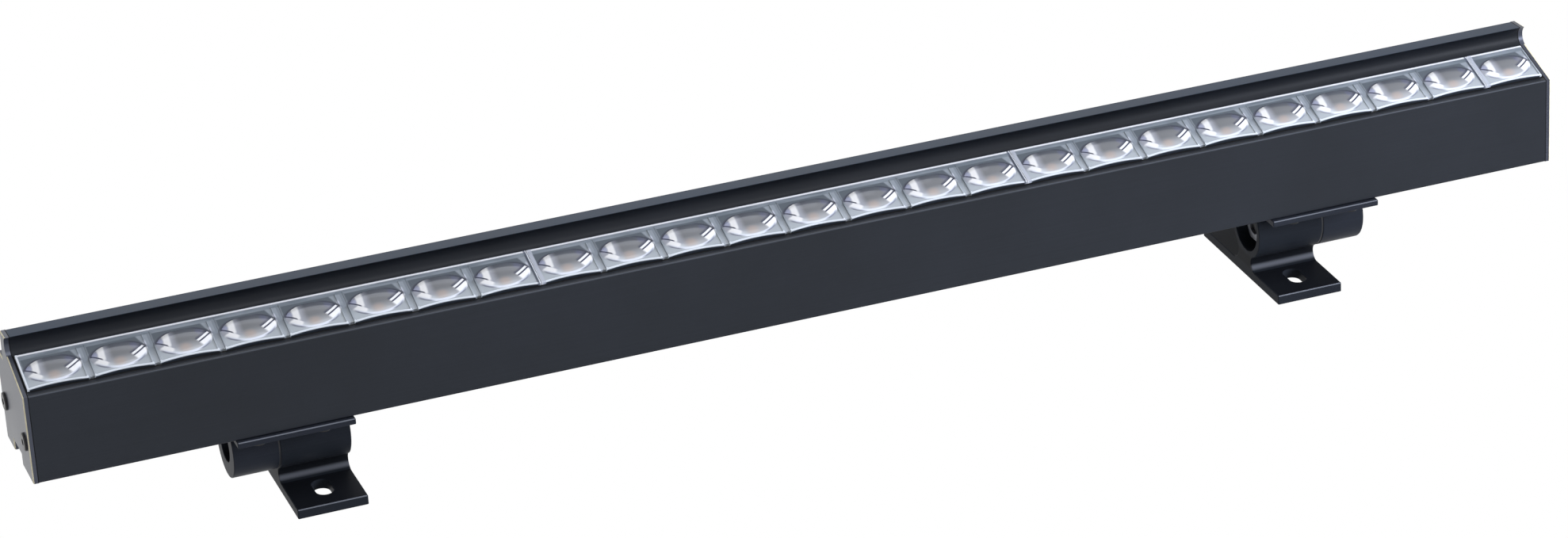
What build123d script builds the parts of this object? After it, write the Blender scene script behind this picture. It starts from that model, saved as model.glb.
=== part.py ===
"""Linear LED wall washer on two sliding, tilting brackets.

Frame: millimetres, +Z up, +X along the light, +Y towards its back.  The origin
is on the mounting surface, at the middle of the footprint of the two feet.
"""
import os
from math import cos, radians, sin, sqrt

from build123d import *

os.makedirs("parts", exist_ok=True)

# ---------------------------------------------------------------- optics
cell_pitch = 20.0
module_cells = (8, 8, 8, 1)
cell_count = sum(module_cells)
module_gap = 0.2
lens_end_gap = 0.35           # seal at each end of the lens strip
lens_flange = 2.3             # thickness of the moulded strip
lens_proud = 0.7              # the strip stands above the lip line
cell_groove_width = 1.8
cell_groove_depth = 0.5
back_flange = 1.5             # strip behind the grooves
dome_long = 17.4
dome_wide = 11.0
dome_height = 1.0
dome_taper = 38.0
optic_side_gap = 0.3          # from the optics to the tray's ledge
optic_depth = 4.6
optic_taper = 24.0
led_size = 3.5
led_height = 0.7
led_air = 0.4                 # from the optic to the LED
led_board_width = 12.0
led_board_thickness = 1.6

# ---------------------------------------------------------------- housing section
wall = 1.8
housing_depth = 34.0
front_height = 28.7
tray_slope = 17.3             # degrees, the top rises to the back
lip_width = 1.7               # the front lip beside the lens strip
lens_front_gap = 0.65
lens_width = 15.6
lens_back_gap = 0.45
tray_ledge = 1.5              # ledge under each long edge of the strip
shelf = 2.4
fin_top_front = 18.15
fin_top_back = 24.75
fin_rise = 11.6               # the fin's top above the front lip
fin_back_drop = 0.4
cove_depth = 1.7
fin_root_back = 25.4
shoulder_rise = 1.5           # the back shoulder above the front lip
shoulder_chamfer = 2.5

# channel along the underside
mouth_width = 10.8
lip_thickness = 1.8
channel_width = 16.4
channel_height = 3.0
channel_roof = 1.6
notch_depth = 3.7             # notch in the end plates at the channel

# screw ports and end plates
port_height_front = 12.2
port_height_rear = 14.2
port_r = 2.8
end_screw_r = 1.5
end_screw_clearance = 0.05
end_screw_length = 10.0
end_head_r = 2.85
end_head_height = 0.8
end_head_round = 0.4
end_socket = 2.0
end_hole_r = 1.7
end_plate = 1.5
end_gasket = 0.3

# ---------------------------------------------------------------- driver, gland and vent
ledge_width = 2.2
ledge_height = 1.6
board_level = 7.2
board_thickness = 1.6
board_side_gap = 0.7
board_length = 400.0
module_length, module_width, module_height = 120.0, 15.0, 8.6
module_x = -90.0
cap_r, cap_length, cap_x, cap_spacing = 4.0, 18.0, 60.0, 24.0
terminal_length, terminal_width, terminal_height = 16.0, 10.0, 7.5
terminal_x = 120.0

gland_x = 20.0
gland_level = 16.0
gland_thread_r = 6.0
gland_thread_length = 5.6
gland_thread_clearance = 0.05
gland_hex = 15.0
gland_hex_length = 4.5
gland_nut_r = 7.4
gland_nut_length = 11.0
gland_seal_r = 4.6
gland_bore_r = 3.2
gland_step = 6.5              # bore of the dome nut behind its lip
vent_x = -20.0
vent_level = 20.6
vent_r = 5.5
vent_head = 3.6
vent_thread_r = 3.0
vent_thread_clearance = 0.05
vent_thread_length = 4.6

# ---------------------------------------------------------------- brackets
hinge_height = 17.5           # hinge axis above the mounting surface
hinge_drop = 10.5             # hinge axis below the housing's underside
bracket_outer = 189.5         # outer end of each clip plate from the middle
clip_length = 37.0
knuckle_inset = 0.4           # the knuckle stands back from the plate's outer end
knuckle_length = 14.3
foot_width = 22.3
washer_thickness = 0.5
barrel_r = 10.3
barrel_relief = 0.3
clip_plate = 2.0
clip_gap = 0.3                # between the plate and the underside
clip_front_overhang = 1.25
clip_rear_inset = 0.5
key_side_gap = 0.2
key_head_gap = 0.3
key_head_height = 2.6
lock_screw_r = 2.0
lock_clearance = 0.05
lock_length = 4.3
lock_inset = 5.2              # from the plate's front edge
lock_outer = 7.5
lock_inner = 28.0
lock_socket = 2.0
lock_socket_depth = 1.6

bolt_r = 3.0
bolt_length = 25.0
bolt_head_r = 5.0
bolt_head_height = 6.0
bolt_socket = 5.0
bolt_socket_depth = 3.0
counterbore_r = 5.3
counterbore_depth = 8.5
knuckle_hole_r = 3.2
journal_clearance = 0.05
nut_across = 10.0
nut_height = 6.4
nut_chamfer = 0.5
nut_bore_r = 8.0
nut_seat_depth = 9.2
washer_r = 10.1
washer_hole_r = 3.2

foot_base = 3.2
foot_front = 24.2
foot_rear = 33.4
foot_front_fillet = 2.8
foot_rear_fillet = 4.0
slot_width = 5.5
slot_length = 10.0
slot_inset = 11.3             # slot centres from the ends of the base plate

# ---------------------------------------------------------------- derived places
housing_length = cell_pitch * cell_count
left_end = -housing_length / 2
mouth_middle = 19.0           # hinge axis and channel behind the front face
fin_height = front_height + fin_rise
shoulder_height = front_height + shoulder_rise
hinge_y = (foot_front - foot_rear) / 2
front_y = hinge_y - mouth_middle
underside_z = hinge_height + hinge_drop
slope_sin, slope_cos = sin(radians(tray_slope)), cos(radians(tray_slope))

lens_front = lip_width + lens_front_gap
lens_back = lens_front + lens_width
tray_back = lens_back + lens_back_gap
lens_middle = (lens_front + lens_back - back_flange) / 2
tray_middle = (lip_width + tray_back) / 2
optic_top_r = lens_middle - lip_width - tray_ledge - optic_side_gap
seat_level = lens_proud - lens_flange
led_board_top = seat_level - optic_depth - led_air - led_height
tray_floor = led_board_top - led_board_thickness
shelf_bottom = tray_floor - shelf
channel_top = lip_thickness + channel_height
chamber_floor = channel_top + channel_roof
knuckle_outer = bracket_outer - knuckle_inset
foot_outer = knuckle_outer - knuckle_length - washer_thickness
foot_inner = foot_outer - foot_width
ports = [(port_r + wall, port_height_front), (housing_depth - wall - port_r, port_height_rear)]


def section(y, z):
    """Point of the section: y behind the front face, z above the underside."""
    return (y + front_y, z + underside_z)


def tray(u, v):
    """Point of the section, u up the slope from the front edge and v above the lip line."""
    return section(u * slope_cos - v * slope_sin, front_height + u * slope_sin + v * slope_cos)


def section_plane(x):
    """Plane of the section at x, with Y to the right and Z up."""
    return Plane.YZ.offset(x)


lip_plane = Plane(
    origin=(0, front_y, underside_z + front_height),
    x_dir=(1, 0, 0),
    z_dir=(0, -slope_sin, slope_cos),
)
back_plane = Plane(
    origin=(0, front_y + housing_depth, underside_z), x_dir=(-1, 0, 0), z_dir=(0, 1, 0)
)
cove_foot = tray(tray_back + 0.35, 0.0)
cove_top = section(fin_top_front, fin_height)
cove_middle = (
    (cove_foot[0] + cove_top[0]) / 2 + cove_depth,
    (cove_foot[1] + cove_top[1]) / 2,
)


def outline():
    """The closed outer line of the section, down to the flat underside."""
    top = Polyline(
        cove_foot, tray(0, 0), section(0, 0), section(housing_depth, 0),
        section(housing_depth, shoulder_height - shoulder_chamfer),
        section(housing_depth - shoulder_chamfer, shoulder_height),
        section(fin_root_back, shoulder_height),
        section(fin_top_back, fin_height - fin_back_drop),
        cove_top,
    )
    ThreePointArc(cove_top, cove_middle, cove_foot)
    return top


def save(piece, name):
    """Label a finished piece and write it as one STEP file."""
    piece.part.label = name
    export_step(piece.part, f"parts/{name}.step")


def underside_box(width, low, high, mode=Mode.SUBTRACT):
    """Rectangle of the section centred on the channel."""
    with Locations(section(mouth_middle, (low + high) / 2)):
        Rectangle(width, high - low, mode=mode)


# ---------------------------------------------------------------- housing
chamber_ceiling_front = tray((wall + shelf_bottom * slope_sin) / slope_cos, shelf_bottom)
ceiling_back_y = tray_back * slope_cos - shelf_bottom * slope_sin + 1.0
chamber_ceiling_back = tray((ceiling_back_y + shelf_bottom * slope_sin) / slope_cos, shelf_bottom)

with BuildPart() as housing:
    with BuildSketch(section_plane(left_end)):
        with BuildLine():
            outline()
        make_face()
        # tray for the optics, open at the top
        with BuildLine():
            Polyline(
                tray(lip_width, 1.5), tray(lip_width, seat_level),
                tray(lip_width + tray_ledge, seat_level), tray(lip_width + tray_ledge, tray_floor),
                tray(tray_back - tray_ledge, tray_floor), tray(tray_back - tray_ledge, seat_level),
                tray(tray_back, seat_level), tray(tray_back, 1.5), close=True,
            )
        make_face(mode=Mode.SUBTRACT)
        # lower chamber
        with BuildLine():
            Polyline(
                section(wall, wall),
                section(housing_depth - wall, wall),
                section(housing_depth - wall, shoulder_height - wall - 0.6 * shoulder_chamfer),
                section(housing_depth - wall - 0.6 * shoulder_chamfer, shoulder_height - wall),
                section(fin_root_back, shoulder_height - wall),
                chamber_ceiling_back,
                chamber_ceiling_front,
                close=True,
            )
        make_face(mode=Mode.SUBTRACT)
        # ledges for the driver board
        for y in (wall + ledge_width / 2, housing_depth - wall - ledge_width / 2):
            with Locations(section(y, board_level - ledge_height / 2)):
                Rectangle(ledge_width, ledge_height)
        # channel with its mouth, under a raised floor
        underside_box(channel_width + 2 * channel_roof, wall, chamber_floor, mode=Mode.ADD)
        underside_box(mouth_width, -0.5, channel_top)
        underside_box(channel_width, lip_thickness, channel_top)
        # screw ports
        for y, z in ports:
            with Locations(section(y, z)):
                Circle(port_r)
            toward = wall + port_r / 2 if y < mouth_middle else housing_depth - wall - port_r / 2
            with Locations(section(toward, z)):
                Rectangle(port_r, 2 * port_r)
            with Locations(section(y, z)):
                Circle(end_screw_r + end_screw_clearance, mode=Mode.SUBTRACT)
    extrude(amount=housing_length)
    # inlet and vent holes through the back
    with Locations(back_plane):
        with Locations((-gland_x, gland_level)):
            Cylinder(gland_thread_r + gland_thread_clearance, 2 * (gland_thread_length + 0.4),
                     mode=Mode.SUBTRACT)
        with Locations((-vent_x, vent_level)):
            Cylinder(vent_thread_r + vent_thread_clearance, 2 * (vent_thread_length + 0.4),
                     mode=Mode.SUBTRACT)
save(housing, "housing")

# ---------------------------------------------------------------- end plates, gaskets, screws
with BuildPart() as end_gasket_left:
    with BuildSketch(section_plane(left_end - end_gasket)):
        with BuildLine():
            outline()
        make_face()
        underside_box(channel_width, -0.5, channel_top)
        for y, z in ports:
            with Locations(section(y, z)):
                Circle(end_hole_r, mode=Mode.SUBTRACT)
    extrude(amount=end_gasket)
save(end_gasket_left, "end_gasket_left")

with BuildPart() as end_plate_left:
    with BuildSketch(section_plane(left_end - end_gasket - end_plate)):
        with BuildLine():
            outline()
        make_face()
        underside_box(mouth_width, -0.5, notch_depth)
        for y, z in ports:
            with Locations(section(y, z)):
                Circle(end_hole_r, mode=Mode.SUBTRACT)
    extrude(amount=end_plate)
save(end_plate_left, "end_plate_left")

end_screws_left = {}
for place, (y, z) in zip(("front", "rear"), ports):
    with BuildPart() as end_screw:
        with BuildSketch(section_plane(left_end - end_gasket - end_plate)) as seat:
            with Locations(section(y, z)):
                Circle(end_head_r)
        extrude(amount=-end_head_height)
        fillet(end_screw.edges().filter_by(GeomType.CIRCLE).sort_by(Axis.X)[0], end_head_round)
        with BuildSketch(section_plane(left_end - end_gasket - end_plate)):
            with Locations(section(y, z)):
                Circle(end_screw_r)
        extrude(amount=end_screw_length)
        with BuildSketch(section_plane(left_end - end_gasket - end_plate - end_head_height)):
            with Locations(section(y, z)):
                RegularPolygon(end_socket / 2, 6, major_radius=False)
        extrude(amount=0.6 * end_head_height, mode=Mode.SUBTRACT)
    end_screws_left[place] = end_screw
    save(end_screw, f"end_screw_left_{place}")

for name, piece in (("end_gasket_right", end_gasket_left), ("end_plate_right", end_plate_left),
                    ("end_screw_right_front", end_screws_left["front"]),
                    ("end_screw_right_rear", end_screws_left["rear"])):
    with BuildPart() as other_end:
        mirror(piece.part, about=Plane.YZ)
    save(other_end, name)

# ---------------------------------------------------------------- lens modules, LED boards, LEDs
first_cell = 0
for number, cells in enumerate(module_cells, start=1):
    start = left_end + first_cell * cell_pitch
    end = start + cells * cell_pitch
    low = start + (lens_end_gap if number == 1 else module_gap / 2)
    high = end - (lens_end_gap if number == len(module_cells) else module_gap / 2)
    centres = [(start + (k + 0.5) * cell_pitch, lens_middle) for k in range(cells)]
    joints_between = [start + k * cell_pitch for k in range(1, cells)]

    with BuildPart() as lens_module:
        with BuildSketch(lip_plane.offset(seat_level)):
            with Locations(((low + high) / 2, (lens_front + lens_back) / 2)):
                Rectangle(high - low, lens_width)
        extrude(amount=lens_flange)
        if joints_between:
            with BuildSketch(lip_plane.offset(lens_proud)):
                for x in joints_between:
                    with Locations((x, lens_front + (lens_width - back_flange) / 2 - 0.5)):
                        Rectangle(cell_groove_width, lens_width - back_flange + 1.0)
            extrude(amount=-cell_groove_depth, mode=Mode.SUBTRACT)
        with BuildSketch(lip_plane.offset(lens_proud)):
            with Locations(*centres):
                Ellipse(dome_long / 2, dome_wide / 2)
        extrude(amount=dome_height, taper=dome_taper)
        with BuildSketch(lip_plane.offset(seat_level)):
            with Locations(*centres):
                Circle(optic_top_r)
        extrude(amount=-optic_depth, taper=optic_taper)
    save(lens_module, f"lens_module_{number}")

    with BuildPart() as led_board:
        with BuildSketch(lip_plane.offset(tray_floor)):
            with Locations(((low + high) / 2, tray_middle)):
                Rectangle(high - low, led_board_width)
        extrude(amount=led_board_thickness)
    save(led_board, f"led_board_{number}")

    with BuildPart() as led_row:
        with BuildSketch(lip_plane.offset(led_board_top)):
            with Locations(*centres):
                Rectangle(led_size, led_size)
        extrude(amount=led_height)
    save(led_row, f"led_row_{number}")
    first_cell += cells

with BuildPart() as lens_seal:
    with BuildSketch(lip_plane.offset(seat_level)):
        with Locations((0, tray_middle)):
            Rectangle(housing_length, tray_back - lip_width)
        with Locations((0, (lens_front + lens_back) / 2)):
            Rectangle(housing_length - 2 * lens_end_gap, lens_width, mode=Mode.SUBTRACT)
    extrude(amount=-seat_level - 0.1)
save(lens_seal, "lens_seal")

# ---------------------------------------------------------------- driver in the lower chamber
board_width = housing_depth - 2 * wall - 2 * board_side_gap
board_y = front_y + housing_depth / 2
board_top = underside_z + board_level + board_thickness
with BuildPart() as driver_board:
    with BuildSketch(Plane.XY.offset(underside_z + board_level)):
        with Locations((0, board_y)):
            Rectangle(board_length, board_width)
    extrude(amount=board_thickness)
save(driver_board, "driver_board")

with BuildPart() as driver_module:
    with BuildSketch(Plane.XY.offset(board_top)):
        with Locations((module_x, board_y)):
            Rectangle(module_length, module_width)
    extrude(amount=module_height)
    fillet(driver_module.edges().filter_by(Axis.Z), 1.5)
save(driver_module, "driver_module")

with BuildPart() as driver_capacitors:
    for step in (-0.5, 0.5):
        with BuildSketch(Plane.YZ.offset(cap_x + step * cap_spacing - cap_length / 2)):
            with Locations((board_y, board_top + cap_r)):
                Circle(cap_r)
        extrude(amount=cap_length)
save(driver_capacitors, "driver_capacitors")

with BuildPart() as terminal_block:
    with BuildSketch(Plane.XY.offset(board_top)):
        with Locations((terminal_x, board_y)):
            Rectangle(terminal_length, terminal_width)
    extrude(amount=terminal_height)
    chamfer(terminal_block.faces().sort_by(Axis.Z)[-1].edges().filter_by(Axis.X), 1.2)
    with BuildSketch(Plane.XZ.offset(-(board_y + terminal_width / 2))):
        for step in (-1, 0, 1):
            with Locations((terminal_x + step * terminal_length / 3.4, board_top + 3.0)):
                Circle(1.4)
    extrude(amount=4.0, mode=Mode.SUBTRACT)
save(terminal_block, "terminal_block")

# ---------------------------------------------------------------- inlet gland and vent on the back
with BuildPart() as gland_body:
    with BuildSketch(back_plane):
        with Locations((-gland_x, gland_level)):
            RegularPolygon(gland_hex / 2, 6, major_radius=False)
    extrude(amount=gland_hex_length)
    with BuildSketch(back_plane):
        with Locations((-gland_x, gland_level)):
            Circle(gland_thread_r)
    extrude(amount=-gland_thread_length)
    with BuildSketch(back_plane.offset(gland_hex_length)):
        with Locations((-gland_x, gland_level)):
            Circle(gland_thread_r - 0.1)
    extrude(amount=gland_nut_length - 4.0)
    with BuildSketch(back_plane.offset(-gland_thread_length)):
        with Locations((-gland_x, gland_level)):
            Circle(gland_seal_r)
    extrude(amount=gland_thread_length + gland_hex_length + gland_nut_length, mode=Mode.SUBTRACT)
save(gland_body, "gland_body")

with BuildPart() as gland_nut:
    with BuildSketch(back_plane.offset(gland_hex_length)):
        with Locations((-gland_x, gland_level)):
            Circle(gland_nut_r)
    extrude(amount=gland_nut_length)
    fillet(gland_nut.edges().filter_by(GeomType.CIRCLE).sort_by(Axis.Y)[-1], 2.6)
    with BuildSketch(back_plane.offset(gland_hex_length)):
        with Locations((-gland_x, gland_level)):
            Circle(gland_thread_r)
    extrude(amount=gland_nut_length - 3.2, mode=Mode.SUBTRACT)
    with BuildSketch(back_plane.offset(gland_hex_length)):
        with Locations((-gland_x, gland_level)):
            Circle(gland_seal_r - 0.4)
    extrude(amount=gland_nut_length, mode=Mode.SUBTRACT)
    with BuildSketch(back_plane.offset(gland_hex_length + 1.6)):
        with Locations((-gland_x, gland_level)):
            with PolarLocations(gland_nut_r + 0.35, 6):
                Circle(0.9)
    extrude(amount=gland_nut_length - 5.0, mode=Mode.SUBTRACT)
save(gland_nut, "gland_nut")

with BuildPart() as gland_seal:
    with BuildSketch(back_plane.offset(gland_hex_length + 1.0)):
        with Locations((-gland_x, gland_level)):
            Circle(gland_seal_r)
            Circle(gland_bore_r, mode=Mode.SUBTRACT)
    extrude(amount=gland_nut_length - 4.4)
save(gland_seal, "gland_seal")

with BuildPart() as vent_plug:
    with BuildSketch(back_plane):
        with Locations((-vent_x, vent_level)):
            Circle(vent_r)
    extrude(amount=vent_head)
    fillet(vent_plug.edges().filter_by(GeomType.CIRCLE).sort_by(Axis.Y)[-1], 1.0)
    with BuildSketch(back_plane):
        with Locations((-vent_x, vent_level)):
            Circle(vent_thread_r)
    extrude(amount=-vent_thread_length)
    with BuildSketch(back_plane.offset(vent_head)):
        with Locations((-vent_x, vent_level)):
            with PolarLocations(0.45 * vent_r, 6):
                Circle(0.5)
    extrude(amount=-1.6, mode=Mode.SUBTRACT)
save(vent_plug, "vent_plug")

# ---------------------------------------------------------------- bracket clip: plate, key, outer knuckle
axis_point = (hinge_y, hinge_height)
clip_left_x = -bracket_outer
plate_low = -clip_gap - clip_plate
key_neck = mouth_width - 2 * key_side_gap
key_head = channel_width - 2 * key_head_gap
clip_front = -clip_front_overhang
clip_rear = housing_depth - clip_rear_inset
lock_y = clip_front + lock_inset

with BuildPart() as clip_left:
    with BuildSketch(section_plane(clip_left_x)):
        with Locations(section((clip_front + clip_rear) / 2, plate_low + clip_plate / 2)):
            Rectangle(clip_rear - clip_front, clip_plate)
        underside_box(key_neck, plate_low, lip_thickness + 0.5, mode=Mode.ADD)
        underside_box(key_head, lip_thickness, lip_thickness + key_head_height, mode=Mode.ADD)
    extrude(amount=clip_length)
    with BuildSketch(section_plane(-knuckle_outer)):
        with Locations(axis_point):
            Circle(barrel_r)
    extrude(amount=knuckle_length)
    # room for the foot's barrel, the bolt and its head
    with BuildSketch(section_plane(-knuckle_outer + knuckle_length)):
        with Locations(axis_point):
            Circle(barrel_r + barrel_relief)
    extrude(amount=clip_length, mode=Mode.SUBTRACT)
    with BuildSketch(section_plane(-knuckle_outer + counterbore_depth)):
        with Locations(axis_point):
            Circle(counterbore_r)
    extrude(amount=-counterbore_depth - knuckle_inset - 0.2, mode=Mode.SUBTRACT)
    with BuildSketch(section_plane(-knuckle_outer)):
        with Locations(axis_point):
            Circle(knuckle_hole_r)
    extrude(amount=knuckle_length, mode=Mode.SUBTRACT)
    with BuildSketch(Plane.XY.offset(underside_z + plate_low)):
        with Locations((clip_left_x + lock_outer, front_y + lock_y),
                       (clip_left_x + lock_inner, front_y + lock_y)):
            Circle(lock_screw_r + lock_clearance)
    extrude(amount=clip_plate, mode=Mode.SUBTRACT)
save(clip_left, "clip_left")

lock_screws = {}
for place, x in (("outer", lock_outer), ("inner", lock_inner)):
    with BuildPart() as lock_screw:
        with BuildSketch(Plane.XY.offset(underside_z)):
            with Locations((clip_left_x + x, front_y + lock_y)):
                Circle(lock_screw_r)
        extrude(amount=-lock_length)
        with BuildSketch(Plane.XY.offset(underside_z - lock_length)):
            with Locations((clip_left_x + x, front_y + lock_y)):
                RegularPolygon(lock_socket / 2, 6, major_radius=False)
        extrude(amount=lock_socket_depth, mode=Mode.SUBTRACT)
    lock_screws[place] = lock_screw
    save(lock_screw, f"lock_screw_left_{place}")

# ---------------------------------------------------------------- hinge bolt, nut and washer
head_seat = -knuckle_outer + counterbore_depth
nut_seat = -foot_inner - nut_seat_depth
with BuildPart() as hinge_bolt_left:
    with BuildSketch(section_plane(head_seat)):
        with Locations(axis_point):
            Circle(bolt_head_r)
    extrude(amount=-bolt_head_height)
    chamfer(hinge_bolt_left.edges().filter_by(GeomType.CIRCLE).sort_by(Axis.X)[0], 0.5)
    with BuildSketch(section_plane(head_seat)):
        with Locations(axis_point):
            Circle(bolt_r)
    extrude(amount=bolt_length)
    with BuildSketch(section_plane(head_seat - bolt_head_height)):
        with Locations(axis_point):
            RegularPolygon(bolt_socket / 2, 6, major_radius=False)
    extrude(amount=bolt_socket_depth, mode=Mode.SUBTRACT)
save(hinge_bolt_left, "hinge_bolt_left")

with BuildPart() as hinge_nut_left:
    with BuildSketch(section_plane(nut_seat)):
        with Locations(axis_point):
            RegularPolygon(nut_across / 2, 6, major_radius=False)
            Circle(bolt_r + journal_clearance, mode=Mode.SUBTRACT)
    extrude(amount=nut_height)
    with BuildSketch(section_plane(nut_seat)):
        with Locations(axis_point):
            Circle(nut_across / 2 + nut_chamfer)
    extrude(amount=nut_height, mode=Mode.INTERSECT)
save(hinge_nut_left, "hinge_nut_left")

with BuildPart() as hinge_washer_left:
    with BuildSketch(section_plane(-knuckle_outer + knuckle_length)):
        with Locations(axis_point):
            Circle(washer_r)
            Circle(washer_hole_r, mode=Mode.SUBTRACT)
    extrude(amount=washer_thickness)
save(hinge_washer_left, "hinge_washer_left")

# ---------------------------------------------------------------- foot: barrel, neck and base plate
base_top = foot_base - hinge_height          # below the axis


def flare(radius):
    """Offset of the centre of an arc that touches the barrel and the top of the base."""
    return sqrt((barrel_r + radius) ** 2 - (base_top + radius) ** 2)


front_centre = (-flare(foot_front_fillet), base_top + foot_front_fillet)
rear_centre = (flare(foot_rear_fillet), base_top + foot_rear_fillet)


def barrel_touch(centre, radius):
    """Where the arc round this centre meets the barrel."""
    return (centre[0] * barrel_r / (barrel_r + radius), centre[1] * barrel_r / (barrel_r + radius))


def waist(centre, radius, touch):
    """A middle point of the flare's arc."""
    a = Vector(touch[0] - centre[0], touch[1] - centre[1]).normalized()
    b = Vector(0, -1)
    m = (a + b).normalized() * radius
    return (centre[0] + m.X, centre[1] + m.Y)


front_touch = barrel_touch(front_centre, foot_front_fillet)
rear_touch = barrel_touch(rear_centre, foot_rear_fillet)

with BuildPart() as foot_left:
    with BuildSketch(Plane(origin=(-foot_outer, hinge_y, hinge_height), x_dir=(0, 1, 0), z_dir=(1, 0, 0))):
        with BuildLine():
            Polyline((front_centre[0], base_top), (-foot_front, base_top),
                     (-foot_front, -hinge_height), (foot_rear, -hinge_height),
                     (foot_rear, base_top), (rear_centre[0], base_top))
            ThreePointArc((rear_centre[0], base_top),
                          waist(rear_centre, foot_rear_fillet, rear_touch), rear_touch)
            Line(rear_touch, (0, 0))
            Line((0, 0), front_touch)
            ThreePointArc(front_touch,
                          waist(front_centre, foot_front_fillet, front_touch),
                          (front_centre[0], base_top))
        make_face()
        Circle(barrel_r)
    extrude(amount=foot_width)
    with BuildSketch(section_plane(-foot_outer)):
        with Locations(axis_point):
            Circle(bolt_r + journal_clearance)
    extrude(amount=foot_width, mode=Mode.SUBTRACT)
    with BuildSketch(section_plane(-foot_inner)):
        with Locations(axis_point):
            Circle(nut_bore_r)
    extrude(amount=-nut_seat_depth, mode=Mode.SUBTRACT)
    with BuildSketch(Plane.XY):
        with Locations((-(foot_outer + foot_inner) / 2, hinge_y - foot_front + slot_inset),
                       (-(foot_outer + foot_inner) / 2, hinge_y + foot_rear - slot_inset)):
            SlotOverall(slot_length, slot_width, rotation=90)
    extrude(amount=foot_base, mode=Mode.SUBTRACT)
save(foot_left, "foot_left")

for name, piece in (("clip_right", clip_left), ("lock_screw_right_outer", lock_screws["outer"]),
                    ("lock_screw_right_inner", lock_screws["inner"]),
                    ("hinge_bolt_right", hinge_bolt_left), ("hinge_nut_right", hinge_nut_left),
                    ("hinge_washer_right", hinge_washer_left), ("foot_right", foot_left)):
    with BuildPart() as other_side:
        mirror(piece.part, about=Plane.YZ)
    save(other_side, name)
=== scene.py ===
"""Dressed model of a linear wall washer on two sliding, tilting brackets.

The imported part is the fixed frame.  Sizes below are millimetres in that frame:
+Z up, +X along the light, +Y towards its back, origin on the mounting surface.
"""
from __future__ import annotations

import logging
from dataclasses import dataclass
from enum import Enum, IntEnum
from math import radians
from typing import Callable, Iterable, Sequence, TypeAlias

import bmesh
import bpy
from bmesh.types import BMEdge, BMesh, BMFace, BMVert
from bpy.types import Material, Node, NodeSocket, NodeTree
from mathutils import Matrix, Vector


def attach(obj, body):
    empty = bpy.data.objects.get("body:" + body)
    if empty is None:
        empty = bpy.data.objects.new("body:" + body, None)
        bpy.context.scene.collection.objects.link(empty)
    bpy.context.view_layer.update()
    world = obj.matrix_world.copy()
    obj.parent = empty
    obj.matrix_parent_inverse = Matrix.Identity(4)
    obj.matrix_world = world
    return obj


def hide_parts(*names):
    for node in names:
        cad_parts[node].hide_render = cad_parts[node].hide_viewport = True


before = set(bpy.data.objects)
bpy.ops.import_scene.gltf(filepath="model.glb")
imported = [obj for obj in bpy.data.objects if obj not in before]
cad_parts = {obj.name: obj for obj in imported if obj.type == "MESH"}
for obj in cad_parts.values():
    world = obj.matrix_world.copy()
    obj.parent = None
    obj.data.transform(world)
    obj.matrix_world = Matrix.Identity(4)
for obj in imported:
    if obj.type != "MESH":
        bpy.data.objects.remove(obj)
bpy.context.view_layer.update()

LOG = logging.getLogger("wall_washer")
MM = 0.001
PHOTO_WIDTH = 1978
WELD = 0.001  # mm, vertices this close are one
FLAT_WITHIN = 0.3  # degrees, triangles this close to a plane are one face
SHARP_FROM = 30.0  # degrees, edges from here on may be rounded
CREASE_FROM = 38.0  # degrees, edges from here on are shaded sharp
ROUND_STEPS = 2  # faces across a rounded edge
LEVEL = 0.9  # least upward part of a level face's normal
UPRIGHT = 0.1  # most upward part of an upright face's normal
LIT_LEAN = 0.25  # least lean upwards and forwards of a face with a painted highlight
END_ON = 0.3  # most lean along the light of a face with a painted highlight
IN_MM = (1000, 1000, 1000)  # scale from the frame's metres to millimetres

Rgb = tuple[float, float, float]
Point = tuple[float, float, float]
Span = tuple[float, float]
Value: TypeAlias = "Field | NodeSocket | Sequence[float] | float"


# ---- choices
class Side(Enum):
    """The two ends of the light."""

    LEFT = "left"
    RIGHT = "right"


class Slot(Enum):
    """Material slots of the record that the new pieces are listed with; nothing here reads them.
    """

    ALUMINIUM = "black_aluminium"
    END_PLATE = "end_plate"
    ACRYLIC = "clear_acrylic"
    NYLON = "black_nylon"


class Skin(IntEnum):
    """Which of its piece's finishes a face has: plain, a painted highlight on a rounded edge,
    painted shade, painted light.
    """

    PLAIN = 0
    PAINTED_HIGHLIGHT = 1
    DARK = 2
    LIGHT = 3


class Body(Enum):
    """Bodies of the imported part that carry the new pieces."""

    LUMINAIRE = "luminaire"
    CLIP_LEFT = "clip_left"
    CLIP_RIGHT = "clip_right"
    FOOT_LEFT = "foot_left"
    FOOT_RIGHT = "foot_right"


# ---- shader nodes
def linear(colour: Rgb) -> tuple[float, float, float, float]:
    """Turn a screen colour into the linear colour that a socket takes.

    Args:
        colour: red, green and blue from 0 to 255.

    Returns:
        Linear red, green, blue and an alpha of 1.
    """
    parts = [c / 255 for c in colour]
    parts = [c / 12.92 if c <= 0.04045 else ((c + 0.055) / 1.055) ** 2.4 for c in parts]
    return (*parts, 1.0)


def node_of(tree: NodeTree, kind: str) -> Node:
    """The first node of a kind in a tree."""
    return next(node for node in tree.nodes if node.type == kind)


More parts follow.
